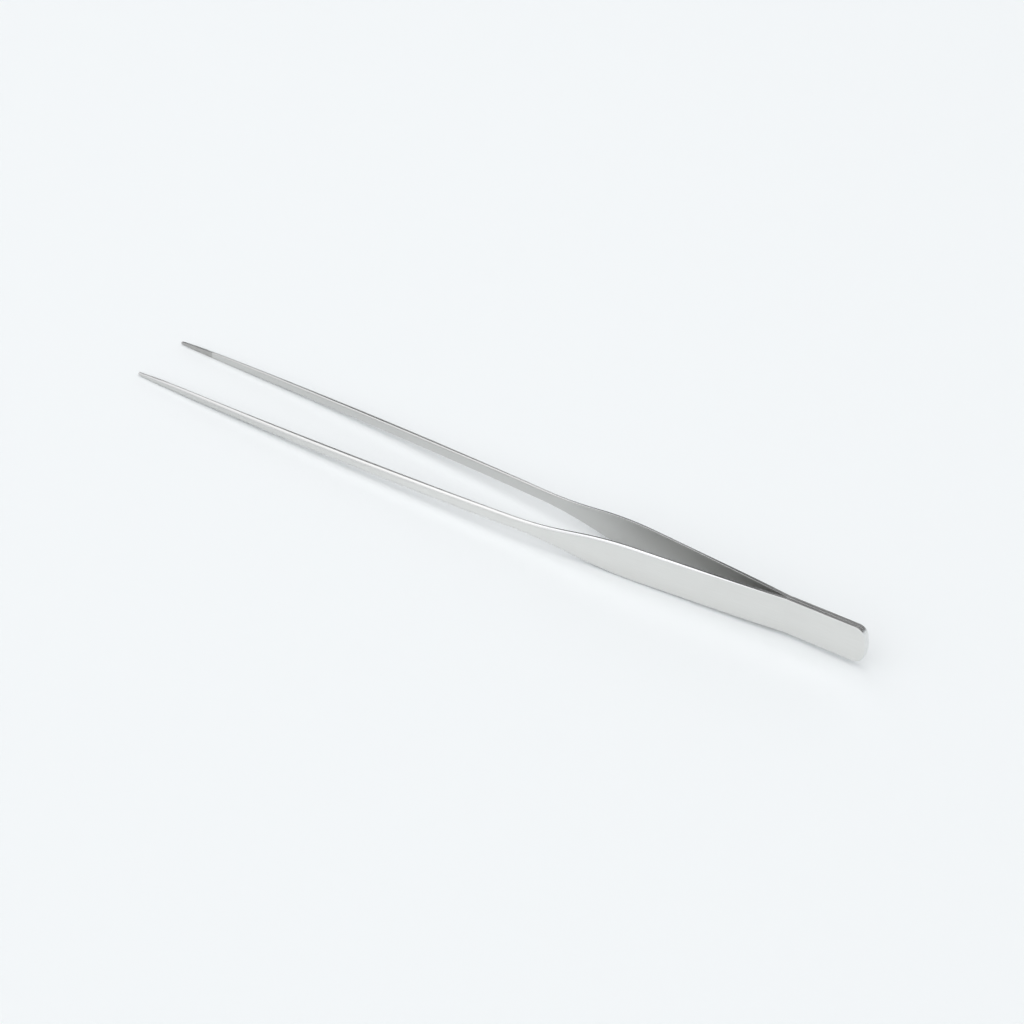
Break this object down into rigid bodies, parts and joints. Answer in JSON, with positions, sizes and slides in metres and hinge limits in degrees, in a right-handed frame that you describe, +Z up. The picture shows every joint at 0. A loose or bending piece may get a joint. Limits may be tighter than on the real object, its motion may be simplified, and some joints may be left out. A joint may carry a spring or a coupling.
{
  "type": "aquascaping tweezers",
  "caption": "Long straight spring tweezers with a flat grip, slim shanks and pointed serrated jaws, for planting in aquariums.",
  "frame": {"origin": "on the table, under the middle of the tweezers' bounding box", "axes": "+X from the heel to the tips, +Y towards the near leg, +Z up; the tweezers lie on the lower edges of both legs"},
  "size_m": [0.2699, 0.024, 0.0146],
  "materials": {
    "satin_steel": "fine satin brushed along the leaf, with polished edges",
    "weld_metal": "fused weld metal, hidden between the leaves"
  },
  "bodies": {
    "heel": {"near_heel": "satin_steel", "far_heel": "satin_steel", "weld_nugget_rear": "weld_metal", "weld_nugget_front": "weld_metal"},
    "near_leg": {"near_arm": "satin_steel"},
    "far_leg": {"far_arm": "satin_steel"}
  },
  "joints": [
    {"name": "near_leg_flex", "type": "hinge", "parent": "heel", "child": "near_leg", "pos_m": [-0.08696, 0.00234, 0.00708], "axis": [-0.0285, 0, -0.9996], "range_deg": [0, 2.73], "stiffness_Nm_per_rad": 5},
    {"name": "far_leg_flex", "type": "hinge", "parent": "heel", "child": "far_leg", "pos_m": [-0.08696, -0.00234, 0.00708], "axis": [0.0285, 0, 0.9996], "range_deg": [0, 2.73], "stiffness_Nm_per_rad": 5}
  ]
}
